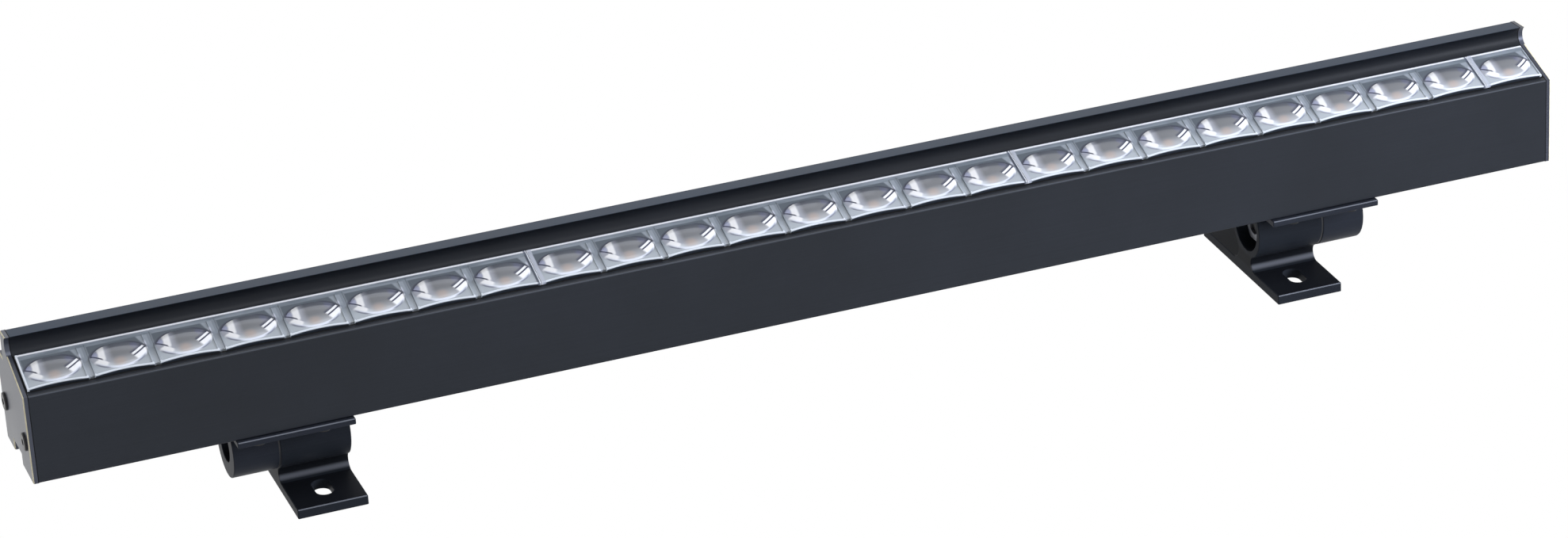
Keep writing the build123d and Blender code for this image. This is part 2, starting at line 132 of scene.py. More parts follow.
class Field:
    """A number that varies over a surface; arithmetic on it adds nodes."""

    def __init__(self, sheet: Shader, socket: NodeSocket) -> None:
        """Keep the sheet and the socket that carries the number."""
        self.sheet = sheet
        self.socket = socket

    def apply(self, operation: str, *others: Field | float) -> Field:
        """Put this field through one Math node.

        Args:
            operation: name of the Math node's operation.
            others: second and third operands.

        Returns:
            The node's result.
        """
        node = self.sheet.add("Math")
        node.operation = operation
        for place, value in enumerate((self, *others)):
            self.sheet.feed(node.inputs[place], value)
        return Field(self.sheet, node.outputs[0])

    def __add__(self, other: Field | float) -> Field:
        """Sum of two fields."""
        return self.apply("ADD", other)

    def __sub__(self, other: Field | float) -> Field:
        """Difference of two fields."""
        return self.apply("SUBTRACT", other)

    def __mul__(self, other: Field | float) -> Field:
        """Product of two fields."""
        return self.apply("MULTIPLY", other)

    def length(self, other: Field) -> Field:
        """Distance from the origin of the point (self, other)."""
        return (self * self + other * other).apply("SQRT")

    def rise(self, low: float, high: float) -> Field:
        """Go smoothly from 0 at low to 1 at high.

        Args:
            low: value where the result is 0; it may lie above high.
            high: value where the result is 1.

        Returns:
            The smooth step.
        """
        start, end = (1.0, 0.0) if low > high else (0.0, 1.0)
        node = self.sheet.add("MapRange", Value=self, From_Min=min(low, high),
                              From_Max=max(low, high), To_Min=start, To_Max=end)
        node.interpolation_type = "SMOOTHSTEP"
        return Field(self.sheet, node.outputs["Result"])

    def band(self, low: float, high: float, soft: float) -> Field:
        """1 between low and high, with edges of the width soft."""
        half = soft / 2
        return self.rise(low - half, low + half) * self.rise(high + half, high - half)


class Shader:
    """Node sheet of one material with short calls for what is used here."""

    def __init__(self, name: str) -> None:
        """Make the material and find its surface node.

        Args:
            name: the material's name.
        """
        self.material = bpy.data.materials.new(name)
        self.material.use_nodes = True
        self.tree = self.material.node_tree
        self.surface = node_of(self.tree, "BSDF_PRINCIPLED")

    def feed(self, socket: NodeSocket, value: Value) -> None:
        """Give a socket its value.

        Args:
            socket: input of a node.
            value: field or socket to link, or number, vector or screen colour to set.
        """
        if isinstance(value, Field):
            value = value.socket
        if isinstance(value, NodeSocket):
            self.tree.links.new(value, socket)
        else:
            socket.default_value = linear(value) if socket.type == "RGBA" else value

    def settings(self, node: Node, **values: Value) -> None:
        """Feed a node's inputs by name; an underscore stands for a space."""
        for name, value in values.items():
            self.feed(node.inputs[name.replace("_", " ")], value)

    def coat(self, **values: Value) -> None:
        """Feed the inputs of the surface node."""
        self.settings(self.surface, **values)

    def add(self, kind: str, **values: Value) -> Node:
        """Add a node.

        Args:
            kind: its type, without the common start.
            values: what its inputs are given.

        Returns:
            The node.
        """
        node = self.tree.nodes.new(f"ShaderNode{kind}")
        self.settings(node, **values)
        return node

    def place(self, scale: Point = (1, 1, 1), turn: Point = (0, 0, 0),
              shift: Sequence[float] = (0, 0, 0)) -> NodeSocket:
        """Object coordinates, scaled, turned and then shifted.

        Args:
            scale: factor along each axis.
            turn: rotation about each axis in radians.
            shift: distance added after the rotation.

        Returns:
            The vector socket.
        """
        here = self.add("TexCoord").outputs["Object"]
        mapping = self.add("Mapping", Vector=here, Scale=scale, Rotation=turn, Location=shift)
        return mapping.outputs["Vector"]

    def axes(self, vector: NodeSocket) -> tuple[Field, Field, Field]:
        """The three parts of a vector as fields."""
        parts = self.add("SeparateXYZ", Vector=vector).outputs
        return tuple(Field(self, part) for part in parts)

    def noise(self, vector: NodeSocket, scale: float = 1.0, detail: float = 2.0) -> Field:
        """Noise from 0 to 1 on a vector.

        Args:
            vector: coordinates of the noise.
            scale: cells for each unit of the vector.
            detail: octaves.

        Returns:
            The noise value.
        """
        node = self.add("TexNoise", Vector=vector, Scale=scale, Detail=detail)
        return Field(self, node.outputs[0])

    def mix(self, factor: Field, low: Rgb | NodeSocket, high: Rgb | NodeSocket) -> NodeSocket:
        """Blend two colours by a field.

        Args:
            factor: share of the second colour.
            low: colour shown where the factor is 0.
            high: colour shown where the factor is 1.

        Returns:
            The colour socket.
        """
        node = self.add("Mix", Factor=factor)
        node.data_type = "RGBA"
        for socket, value in zip((s for s in node.inputs if s.type == "RGBA"), (low, high)):
            self.feed(socket, value)
        return next(s for s in node.outputs if s.type == "RGBA")

    def bump(self, height: Field, strength: float, distance: float) -> None:
        """Roughen the surface by a height field.

        Args:
            height: field from 0 to 1.
            strength: share of the effect.
            distance: height in metres of a field value of 1.
        """
        node = self.add("Bump", Strength=strength, Distance=distance, Height=height)
        self.coat(Normal=node.outputs["Normal"])


# ---- finishes
class Finish:
    """A finish that is made into a material once and then shared."""

    name: str
    made: dict[Finish, Material] = {}

    def paint(self, sheet: Shader) -> None:
        """Build the finish on a node sheet; every finish does it in its own way."""
        raise NotImplementedError

    def material(self) -> Material:
        """Make the material at first use.

        Returns:
            The material of this finish.
        """
        if self not in Finish.made:
            sheet = Shader(self.name)
            self.paint(sheet)
            Finish.made[self] = sheet.material
        return Finish.made[self]


@dataclass(frozen=True)
class Anodised(Finish):
    """Black anodised aluminium with a fine etched grain and faint drawn lines, and where set a
    painted highlight over a band of painted shade.
    """

    name: str
    colour: Rgb = (30, 34, 40)
    lighter: Rgb = (38, 42, 49)
    rough: float = 0.42
    specular: float = 0.22
    metal: float = 0.0
    cloud_scale: float = 22.0
    line_scale: Point = (6, 1700, 1700)
    grain_scale: float = 5200.0
    grain_height: float = 0.000018
    drawn: float = 0.5  # depth of the drawn lines beside the grain
    highlight_at: tuple[float, ...] = ()  # y, z, reach and core of a painted highlight along the cove between barrel and base, in mm
    highlight_colour: Rgb = (90, 90, 90)
    highlight_share: float = 0.8
    shade_colour: Rgb = (26, 28, 32)  # painted shade round the painted highlight
    shade_band: Point = (-0.7, 3.5, 1.6)  # the painted shade's from and to, beside z, and its soft edge

    def paint(self, sheet: Shader) -> None:
        """Colour drift, grain and lines drawn along the extrusion, and where set a painted
        highlight over a band of painted shade.

        Args:
            sheet: the node sheet.
        """
        here = sheet.place()
        clouds = sheet.noise(here, self.cloud_scale, 3.0)
        lines = sheet.noise(sheet.place(scale=self.line_scale))
        grain = sheet.noise(here, self.grain_scale, 1.0)
        tone = clouds * 0.55 + lines * 0.2 + grain * 0.25
        skin = sheet.mix(tone.rise(0.25, 0.75), self.colour, self.lighter)
        # painted shade in a band of heights, then a painted highlight round a point of the section
        if self.highlight_at:
            y, z, reach, core = self.highlight_at
            below, above, soft = self.shade_band
            _, across, up = sheet.axes(sheet.place(scale=IN_MM))
            skin = sheet.mix(up.band(z + below, z + above, soft), skin, self.shade_colour)
            painted_highlight = (across - y).length(up - z).rise(reach, core) * self.highlight_share
            skin = sheet.mix(painted_highlight, skin, self.highlight_colour)
        sheet.bump(grain * 0.7 + lines * self.drawn, 0.35, self.grain_height)
        sheet.coat(
            Base_Color=skin, Specular_IOR_Level=self.specular, Metallic=self.metal,
            Roughness=clouds.rise(0.2, 0.8) * 0.08 + grain * 0.05 + (self.rough - 0.06))


@dataclass(frozen=True)
class Moulded(Finish):
    """Moulded plastic or rubber with a fine eroded texture."""

    name: str
    colour: Rgb
    lighter: Rgb
    rough: float = 0.5
    specular: float = 0.4
    pebble_scale: float = 2600.0
    pebble_height: float = 0.00002
    cloud_scale: float = 60.0

    def paint(self, sheet: Shader) -> None:
        """Speckled colour and a fine pebbled bump.

        Args:
            sheet: the node sheet.
        """
        here = sheet.place()
        pebbles = sheet.noise(here, self.pebble_scale)
        clouds = sheet.noise(here, self.cloud_scale)
        tone = (pebbles * 0.4 + clouds * 0.6).rise(0.3, 0.7)
        sheet.bump(pebbles, 0.4, self.pebble_height)
        sheet.coat(Base_Color=sheet.mix(tone, self.colour, self.lighter),
                   Roughness=pebbles * 0.12 + (self.rough - 0.06),
                   Specular_IOR_Level=self.specular)


@dataclass(frozen=True)
class Plated(Finish):
    """Blackened or zinc-plated steel with turning marks, and the pale painted reflection on the
    end plates' rounded edges.
    """

    name: str
    colour: Rgb
    lighter: Rgb
    rough: float = 0.33
    metal: float = 0.6
    mottle_scale: float = 420.0
    mark_scale: Point = (9000, 900, 900)
    mark_height: float = 0.000012

    def paint(self, sheet: Shader) -> None:
        """Mottled plating over fine marks.

        Args:
            sheet: the node sheet.
        """
        mottle = sheet.noise(sheet.place(), self.mottle_scale, 3.0)
        marks = sheet.noise(sheet.place(scale=self.mark_scale))
        tone = (mottle * 0.7 + marks * 0.3).rise(0.3, 0.7)
        sheet.bump(marks, 0.3, self.mark_height)
        sheet.coat(Base_Color=sheet.mix(tone, self.colour, self.lighter),
                   Roughness=mottle * 0.16 + (self.rough - 0.08),
                   Metallic=self.metal, Specular_IOR_Level=0.5)


@dataclass(frozen=True)
class CircuitBoard(Finish):
    """Solder mask over a faint track pattern."""

    name: str
    colour: Rgb
    track: Rgb
    rough: float = 0.35
    track_scale: Point = (220, 480, 480)
    track_height: float = 0.00003

    def paint(self, sheet: Shader) -> None:
        """Tracks as thresholded noise, slightly raised.

        Args:
            sheet: the node sheet.
        """
        tracks = sheet.noise(sheet.place(scale=self.track_scale), detail=0.0).rise(0.5, 0.53)
        sheet.bump(tracks, 0.5, self.track_height)
        sheet.coat(Base_Color=sheet.mix(tracks, self.colour, self.track), Roughness=self.rough)


@dataclass(frozen=True)
class PhosphorLed(Finish):
    """White package with a yellow phosphor window over each die."""

    name: str
    package: Rgb = (226, 226, 222)
    phosphor: Rgb = (232, 182, 78)
    cells_per_metre: float = 50.0
    window: Span = (0.08, 0.07)  # half the window's width, in cells
    wobble: float = 0.02
    cloud_scale: float = 900.0

    def paint(self, sheet: Shader) -> None:
        """Window repeated at the cell pitch.

        Args:
            sheet: the node sheet.
        """
        along, _, _ = sheet.axes(sheet.place(scale=(self.cells_per_metre, 1, 1)))
        middle = (along.apply("FRACT") - 0.5).apply("ABSOLUTE")
        clouds = sheet.noise(sheet.place(), self.cloud_scale, 1.0)
        window = (middle + clouds * self.wobble).rise(*self.window)
        sheet.coat(Base_Color=sheet.mix(window, self.package, self.phosphor), Roughness=0.4)


class Tone:
    """Screen colours of one lens cell; apart from the chip's warm tint, most are painted light and
    shade of the clear lens.
    """

    BORDER = (240, 245, 251)  # painted highlight on the strip's left end
    LIP = (236, 243, 249)
    SKIRT = (58, 64, 72)  # painted shade on the wall below the lip
    POCKET_FRONT = (182, 189, 195)
    POCKET_BACK = (88, 97, 106)
    RIB_FRONT = (176, 183, 190)  # between two cells
    RIB_BACK = (132, 140, 149)
    CORNER = (150, 158, 167)
    GLINT = (206, 210, 222)
    SHADE = (64, 68, 83)  # behind the lens
    FLANGE = (110, 120, 129)
    FLANGE_LIGHT = (138, 147, 156)
    BACK_LIGHT = (250, 251, 255)
    BACK_DARK = (74, 80, 92)
    SEAM_LEFT = (84, 90, 108)  # beside the seam of two lengths
    SEAM_RIGHT = (196, 200, 212)
    BRIGHT = (244, 246, 252)  # painted highlight on the seam and the outermost arc
    WHITE = (255, 255, 255)
    VIOLET = (170, 175, 202)
    DARK = (56, 60, 84)
    WELL = (124, 126, 129)
    WELL_BACK = (106, 110, 118)
    WELL_FRONT = (176, 178, 181)
    CHIP = (200, 172, 152)
    WALL_FRONT = (204, 210, 216)
    WALL_BACK = (174, 177, 187)
    PATCH = (116, 119, 146)
    BEYOND = (158, 161, 172)  # between the arcs and the rim
    RIM_FRONT = (228, 233, 243)
    RIM_ASIDE = (138, 142, 155)
    RIM_BACK = (70, 74, 90)


@dataclass(frozen=True)
class Cell:
    """Where a point lies in its lens cell, as fields in millimetres.

    x is counted from the cell's middle along the strip, and aside is the same
    without its sign; behind is counted back from the lens's middle and u from
    the strip's front lip.  reach is 1 on the lens's outline and less inside
    it, and streaks is a slow noise.
    """

    sheet: Shader
    x: Field
    aside: Field
    behind: Field
    u: Field
    reach: Field
    streaks: Field


@dataclass
class Canvas:
    """A colour that is painted over step by step."""

    sheet: Shader
    now: NodeSocket

    def fill(self, tone: Rgb | NodeSocket, share: Field, *others: Field | float) -> None:
        """Paint a colour over the canvas.

        Args:
            tone: the colour.
            share: its share, from 0 to 1.
            others: factors of the share.
        """
        for other in others:
            share = share * other
        self.now = self.sheet.mix(share, self.now, tone)


@dataclass(frozen=True)
class LensAcrylic(Finish):
    """Clear moulded lens strip, with the light and shade seen on it painted into its colour.

    Every cell repeats one drawing on the strip's own plane: the flange, the
    pocket round the lens, the rib between cells, the grey well of the lens
    with its warm chip, and the walls of the optic on both sides.  Apart from
    the chip's warm tint, the drawing is painted light: painted reflections on
    the optic's walls, painted highlights on the lip, the rims and the ribs,
    and painted shade in the pocket, the well and below the lip.  The
    numbers in the drawing are millimetres on the cell, and shares of a colour.
    """

    name: str
    strip: LensStrip
    streak_scale: Point = (90, 520, 520)
    streak_height: float = 0.00003
    arc_centre: Span = (-6.0, 14.0)
    arc_lean: Span = (0.772, 0.636)  # direction in which the arcs run

    def paint(self, sheet: Shader) -> None:
        """Draw one cell in millimetres from its middle and repeat it.

        Args:
            sheet: the node sheet.
        """
        strip = self.strip
        turn = radians(strip.slope)
        front = Matrix.Rotation(-turn, 3, "X") @ Vector((0.0, strip.front_y, strip.lip_height))
        x, u, v = sheet.axes(sheet.place(scale=IN_MM, turn=(-turn, 0, 0), shift=-front))
        share = ((x - strip.left_end) * (1 / strip.pitch)).apply("FRACT")
        along = share * strip.pitch - strip.pitch / 2
        behind = u - strip.lens_middle
        reach = (along * (2 / strip.lens_long)).length(behind * (2 / strip.lens_wide))
        streaks = sheet.noise(sheet.place(scale=self.streak_scale))
        cell = Cell(sheet, along, along.apply("ABSOLUTE"), behind, u, reach, streaks)

        whole = Canvas(sheet, self.strip_colours(cell))
        whole.fill(self.lens_colours(cell), reach.rise(1.0, 0.97))
        # painted shade on the wall below the lip
        whole.fill(Tone.SKIRT, v.rise(0.5, 0.25), u.rise(strip.front + 1.5, strip.front + 1.3),
                   cell.aside.rise(9.2, 8.9))
        # painted highlight on the strip's left end
        whole.fill(Tone.BORDER, (x - strip.left_end).rise(1.2, 0.85))
        # painted highlights on each seam and to its right, a dark band to its left
        for seam in strip.seams():
            whole.fill(Tone.SEAM_RIGHT, (x - seam).band(0.3, 1.5, 0.3), 0.75)
            whole.fill(Tone.BRIGHT, (x - seam).band(-0.35, 0.25, 0.15))
            whole.fill(Tone.SEAM_LEFT, (x - seam).band(-1.1, -0.45, 0.3), 0.8)
        sheet.bump(streaks, 0.12, self.streak_height)
        sheet.coat(Base_Color=whole.now, Roughness=0.12, Specular_IOR_Level=0.3,
                   Coat_Weight=0.1, Coat_Roughness=0.04)

    def strip_colours(self, cell: Cell) -> NodeSocket:
        """Painted light and shade of the strip round the lenses.

        Args:
            cell: the cell's fields.

        Returns:
            The colour socket.
        """
        strip, mix, behind, u = self.strip, cell.sheet.mix, cell.behind, cell.u
        # painted shade darkens the pocket and the rib towards the back; painted highlights at the
        # rib's corner, its glint, the flange's back edge and the lip; painted shade behind the
        # lens and at the very back
        view = Canvas(cell.sheet, mix((behind + cell.streaks * 1.2).rise(4.4, -4.4),
                                      Tone.POCKET_BACK, Tone.POCKET_FRONT))
        view.fill(mix(behind.rise(-5.5, 2.0), Tone.RIB_FRONT, Tone.RIB_BACK),
                  cell.aside.rise(8.2, 9.0))
        view.fill(Tone.CORNER, (cell.x + behind * 0.4).rise(8.7, 9.5), behind.rise(0.5, 2.5))
        view.fill(Tone.GLINT, cell.x.band(8.2, 9.0, 0.4), behind.band(0.2, 3.6, 1.4), 0.85)
        view.fill(Tone.SHADE, cell.reach.rise(1.1, 1.02), behind.rise(0.2, 1.4),
                  cell.aside.rise(2.0, 4.5), 0.85)
        view.fill(mix(cell.streaks.rise(0.3, 0.7), Tone.FLANGE, Tone.FLANGE_LIGHT),
                  u.rise(strip.pocket_back - 0.15, strip.pocket_back + 0.25))
        view.fill(Tone.BACK_LIGHT, u.rise(strip.back - 1.15, strip.back - 0.7))
        view.fill(Tone.BACK_DARK, u.rise(strip.back - 0.35, strip.back - 0.15))
        hollow = cell.x * cell.x * (strip.scallop / (strip.pitch / 2) ** 2)
        view.fill(Tone.LIP, (u + hollow - (strip.front + strip.scallop)).rise(0.95, 0.55))
        return view.now

    def lens_colours(self, cell: Cell) -> NodeSocket:
        """Painted light and shade inside one lens, over the chip's own warm tint.

        Args:
            cell: the cell's fields.

        Returns:
            The colour socket.
        """
        mix, x, behind = cell.sheet.mix, cell.x, cell.behind
        # painted shade: the well darker towards its back and lighter to the front
        depth = behind + cell.streaks * 0.8
        view = Canvas(cell.sheet, mix(depth.rise(4.8, 0.8), Tone.WELL_BACK, Tone.WELL))
        view.fill(Tone.WELL_FRONT, depth.rise(-0.2, -4.0))
        chip = (x + 0.4).length((behind + 3.2 + cell.streaks * 0.4) * 1.25)
        view.fill(Tone.CHIP, chip.rise(2.9, 0.4), 0.42)

        # left: painted reflections on the optic's wall, a bright upright bar and a
        # bright lower wall, parted by a dark joint that runs in from the tip
        view.fill(mix(behind.rise(-2.6, -3.8), Tone.WALL_BACK, Tone.WALL_FRONT),
                  x.rise(-1.6, -4.4))
        bar = (x - behind * 0.08).band(-6.3, -4.2, 0.8)
        view.fill(Tone.WHITE, bar, behind.rise(-2.6, -1.2))
        lower = (x + 6.1).length((behind + 2.7) * 1.4)
        view.fill(Tone.WHITE, lower.rise(2.9, 1.8), (behind + x * 0.82).rise(-5.75, -6.25))
        tip = (x + 7.2).length((behind - 1.4) * 0.75)
        view.fill(Tone.VIOLET, tip.rise(1.3, 0.7), 0.9)
        joint = (behind + x * 0.9).band(-6.42, -5.78, 0.3)
        view.fill(Tone.DARK, joint, x.rise(-4.9, -5.6))

        # right: painted reflections, three parallel arcs round a far centre with painted shade
        # between them, over a dim patch
        arc = (x - self.arc_centre[0]).length(behind - self.arc_centre[1])
        along = x * self.arc_lean[0] + behind * self.arc_lean[1]
        start = along.rise(1.3, 2.2)
        patch = (x - 5.2).length((behind - 2.3) * 0.8)
        view.fill(Tone.PATCH, patch.rise(1.8, 0.6), 0.5)
        view.fill(Tone.BEYOND, arc.rise(20.9, 21.4), x.rise(3.6, 5.4))
        view.fill(Tone.DARK, arc.band(17.3, 18.2, 0.7), start, 0.6)
        view.fill(Tone.DARK, arc.band(17.8, 21.0, 0.3), start)
        view.fill(Tone.WHITE, arc.band(18.05, 18.8, 0.25), start)
        view.fill(Tone.WHITE, arc.band(19.3, 20.85, 0.25), along.rise(1.1, 2.1))
        view.fill(Tone.BRIGHT, arc.band(20.5, 21.7, 0.3), x.rise(6.9, 7.8))

        # the rim: a painted highlight in the middle of its front, grey beside it, painted shade
        # behind
        rim, front = cell.reach, behind.rise(-1.0, -3.2)
        view.fill(Tone.RIM_FRONT, rim.band(0.87, 1.0, 0.08), front)
        view.fill(Tone.RIM_ASIDE, rim.band(0.92, 1.02, 0.05), front, cell.aside.rise(2.6, 5.0))
        view.fill(Tone.RIM_BACK, rim.band(0.955, 1.02, 0.03), behind.rise(0.8, 2.6))
        return view.now


ALUMINIUM = Anodised("anodised_aluminium")
# painted highlights on the rounded edges that look up and to the front, on the brackets and on the
# housing
BRACKET_EDGE_HIGHLIGHT = Anodised("bracket_edge_highlight", (92, 96, 104), (122, 126, 135), rough=0.34)
HOUSING_EDGE_HIGHLIGHT = Anodised("housing_edge_highlight", (58, 62, 69), (74, 78, 86), rough=0.36)
# painted shade on the fin's hollow front
COVE_SHADE_ALUMINIUM = Anodised("anodised_cove_painted_shade", (23, 26, 31), (30, 33, 39), specular=0.15)
# painted light: the fin's top lighter and bluer than the rest of the body
FIN_TOP_LIT_ALUMINIUM = Anodised("anodised_fin_top_painted_light", (48, 58, 71), (56, 67, 82), specular=0.12)
CLIP_ALUMINIUM = Anodised(
    "anodised_clip", (39, 42, 49), (47, 51, 59), specular=0.06, drawn=0.3)
# the foot: a painted highlight along the cove between barrel and base plate, with painted shade
# round it
FOOT_ALUMINIUM = Anodised(
    "anodised_foot", (36, 39, 45), (43, 47, 53), specular=0.03, drawn=0.3,
    highlight_at=(-8.8, 4.6, 1.35, 0.2), highlight_colour=(118, 121, 128))
# painted shade on the top of the foot's base plate
BASE_TOP_SHADE_ALUMINIUM = Anodised(
    "anodised_base_top_painted_shade", (22, 24, 28), (28, 30, 35), specular=0.03, drawn=0.3)
PLATE = Anodised(
    "anodised_end_plate", (58, 62, 74), (70, 74, 86), rough=0.3, specular=0.5, metal=0.35,
    drawn=0.0)
# pale painted reflection on the rounded edges round each end plate's outer face
PLATE_EDGE_REFLECTION = Plated("plate_edge_painted_reflection", (226, 216, 180), (246, 238, 206), rough=0.45, metal=0.0)
BLACK_SCREW = Plated("blackened_screw", (16, 16, 18), (32, 32, 35), metal=0.3)
ZINC_NUT = Plated("plated_nut", (104, 106, 112), (142, 144, 150), rough=0.3)
SILICONE = Moulded("black_silicone", (8, 8, 10), (14, 14, 16), rough=0.7, specular=0.15)
NYLON = Moulded("black_nylon", (24, 25, 28), (34, 35, 39), rough=0.45)
WASHER = Moulded("grey_washer_nylon", (30, 31, 34), (40, 41, 45))
POTTED = Moulded("driver_case", (30, 31, 34), (44, 45, 49), rough=0.55)
TERMINAL_GREEN = Moulded("terminal_plastic", (44, 108, 66), (58, 126, 80), rough=0.4)
LED_BOARD = CircuitBoard("white_led_board", (232, 233, 230), (214, 216, 213))
DRIVER_BOARD = CircuitBoard("green_driver_board", (22, 74, 46), (34, 96, 60))
LED_PACKAGE = PhosphorLed("led_package")


# ---- mesh help
def span_box(mesh: BMesh, low: Sequence[float], high: Sequence[float]) -> list[BMVert]:
    """Add a box between two corners given in millimetres.

    Args:
        mesh: mesh that receives the box.
        low: lowest corner.
        high: highest corner.

    Returns:
        The box's vertices.
    """
    low_corner, high_corner = Vector(low) * MM, Vector(high) * MM
    spread = Matrix.Diagonal((*(high_corner - low_corner), 1.0))
    centre = Matrix.Translation((low_corner + high_corner) / 2)
    return bmesh.ops.create_cube(mesh, size=1.0, matrix=centre @ spread)["verts"]


def join_part(mesh: BMesh, part: BMesh) -> None:
    """Add a finished part to a mesh and free the part.

    Args:
        mesh: mesh that receives the part.
        part: the part.
    """
    carrier = bpy.data.meshes.new("carrier")
    part.to_mesh(carrier)
    part.free()
    mesh.from_mesh(carrier)
    bpy.data.meshes.remove(carrier)


def soften(mesh: BMesh, edges: Iterable[BMEdge], width: float) -> list[BMFace]:
    """Round edges over.

    Args:
        mesh: mesh that holds the edges.
        edges: edges to round.
        width: width of the rounding in millimetres.

    Returns:
        The new faces.
    """
    made = bmesh.ops.bevel(mesh, geom=list(edges), offset=width * MM, offset_type="OFFSET",
                           affect="EDGES", segments=ROUND_STEPS, profile=0.5, material=-1,
                           clamp_overlap=False)
    return made["faces"]


def is_lit_edge(face: BMFace) -> bool:
    """True for a rounded face that looks up and to the front, towards the key lamp; it takes a
    painted highlight.
    """
    lean = face.normal
    return lean.z > LIT_LEAN and lean.y < -LIT_LEAN and abs(lean.x) < END_ON


def machined_copy(node: str, width: float,
                  chosen: Callable[[BMEdge], bool] = lambda edge: True,
                  highlighted: Callable[[BMFace], bool] = is_lit_edge) -> BMesh:
    """Copy a CAD node, join its loose triangles and round its sharp edges.

    Args:
        node: name of the CAD node.
        width: width of the rounding in millimetres.
        chosen: says of a sharp edge whether it is rounded.
        highlighted: says of a rounded edge's face whether it takes a painted highlight.

    Returns:
        The finished mesh, still to be placed.
    """
    mesh = bmesh.new()
    mesh.from_mesh(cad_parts[node].data)
    for face in mesh.faces:
        face.material_index = Skin.PLAIN
    bmesh.ops.remove_doubles(mesh, verts=mesh.verts, dist=WELD * MM)
    bmesh.ops.dissolve_limit(mesh, angle_limit=radians(FLAT_WITHIN), verts=mesh.verts,
                             edges=mesh.edges)
    edges = [e for e in mesh.edges
             if e.is_manifold and e.calc_face_angle() > radians(SHARP_FROM) and chosen(e)]
    rounded = soften(mesh, edges, width)
    mesh.normal_update()
    for face in rounded:
        face.material_index = Skin.PAINTED_HIGHLIGHT if highlighted(face) else Skin.PLAIN
    return mesh


def link_new(name: str, data: bpy.types.ID) -> bpy.types.Object:
    """Put a new object in the scene.

    Args:
        name: its name.
        data: its mesh, lamp or camera.

    Returns:
        The object.
    """
    thing = bpy.data.objects.new(name, data)
    bpy.context.scene.collection.objects.link(thing)
    return thing


@dataclass
class Piece:
    """A new mesh that stands for CAD nodes and rides on a body."""

    name: str
    slot: Slot
    finishes: Sequence[Finish]
    nodes: Sequence[str]
    body: str = Body.LUMINAIRE.value

    def place(self, mesh: BMesh) -> None:
        """Put the mesh in the scene, dress it and tie it to its body.

        Args:
            mesh: the finished mesh; it is freed here.
        """
        data = bpy.data.meshes.new(self.name)
        mesh.to_mesh(data)
        mesh.free()
        data.shade_smooth()
        data.set_sharp_from_angle(angle=radians(CREASE_FROM))
        for finish in self.finishes:
            data.materials.append(finish.material())
        thing = link_new(self.name, data)
        thing.modifiers.new("flat_faces", "WEIGHTED_NORMAL").keep_sharp = True
        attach(thing, self.body)
        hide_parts(*self.nodes)
        LOG.info("%s: %d faces on %s", self.name, len(data.polygons), self.body)


def dress(node: str, finish: Finish) -> None:
    """Give a CAD node that stays in view its finish.

    Args:
        node: name of the CAD node.
        finish: its finish.
    """
    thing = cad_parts[node]
    for place in thing.material_slots:
        place.material = finish.material()
    LOG.info("%s: kept, now %s", node, finish.name)


# ---- sub-assemblies
@dataclass
class Housing:
    """The extruded body with its end plates, gaskets and end screws."""

    front_y: float = -23.6
    underside: float = 28.0
    edge_round: float = 0.3
    plate_face: float = 251.8
    plate_round: float = 0.36
    corners: tuple[Span, ...] = (  # of the section, from the foot of its front
        (0, 0), (34, 0), (13.6, 0), (24.4, 0), (34, 27.7), (31.5, 30.2),
        (24.75, 39.9), (18.15, 40.3), (0, 28.7))
    corner_reach: float = 0.2
    cove: tuple[Span, Span] = ((17.5, 19.9), (34.3, 40.1))  # depth and height of the fin's front
    cove_lean: float = -0.5
    fin_from: float = 39.0  # only the fin's top is level and higher
    face_reach: float = 0.05
    hole_edge: float = 1.2  # the edges round a plate's holes are shorter

    def build(self) -> None:
        """Make the body and both ends."""
        body = machined_copy("housing", self.edge_round, self.is_outer_corner)
        # painted shade on the fin's hollow front and painted light on its top; rounded corners
        # that look up and forwards carry a painted highlight
        for face in body.faces:
            if self.is_cove(face):
                face.material_index = Skin.DARK
            elif self.is_fin_top(face):
                face.material_index = Skin.LIGHT
        Piece("housing_extrusion", Slot.ALUMINIUM,
              (ALUMINIUM, HOUSING_EDGE_HIGHLIGHT, COVE_SHADE_ALUMINIUM, FIN_TOP_LIT_ALUMINIUM),
              ("housing",)).place(body)
        for side in Side:
            self.close_end(side)

    def on_section(self, point: Vector) -> Span:
        """Depth and height of a point on the section, in millimetres."""
        return point.y / MM - self.front_y, point.z / MM - self.underside

    def is_outer_corner(self, edge: BMEdge) -> bool:
        """True for an edge along the extrusion at one of its outer corners."""
        y, z = self.on_section((edge.verts[0].co + edge.verts[1].co) / 2)
        return any(abs(y - cy) + abs(z - cz) < self.corner_reach for cy, cz in self.corners)

    def is_cove(self, face: BMFace) -> bool:
        """True for a face of the hollow front of the fin, which takes painted shade."""
        places = zip(self.on_section(face.calc_center_median()), self.cove)
        return face.normal.y < self.cove_lean and all(a < at < b for at, (a, b) in places)

    def is_fin_top(self, face: BMFace) -> bool:
        """True for the flat top of the fin, which takes painted light."""
        _, z = self.on_section(face.calc_center_median())
        return face.normal.z > LEVEL and z > self.fin_from

    def is_outline(self, edge: BMEdge) -> bool:
        """True for an edge round an end plate's outer face, but not round its holes."""
        return (all(abs(abs(v.co.x) / MM - self.plate_face) < self.face_reach for v in edge.verts)
                and edge.calc_length() > self.hole_edge * MM)

    def close_end(self, side: Side) -> None:
        """Make one end plate and dress its gasket and screws.

        Args:
            side: which end.
        """
        node = f"end_plate_{side.value}"
        # every rounded face of the plate's outline takes the pale painted reflection
        plate = machined_copy(node, self.plate_round, self.is_outline, lambda face: True)
        Piece(f"end_cap_{side.value}", Slot.END_PLATE, (PLATE, PLATE_EDGE_REFLECTION), (node,)).place(plate)
        dress(f"end_gasket_{side.value}", SILICONE)
        for place in ("front", "rear"):
            dress(f"end_screw_{side.value}_{place}", BLACK_SCREW)


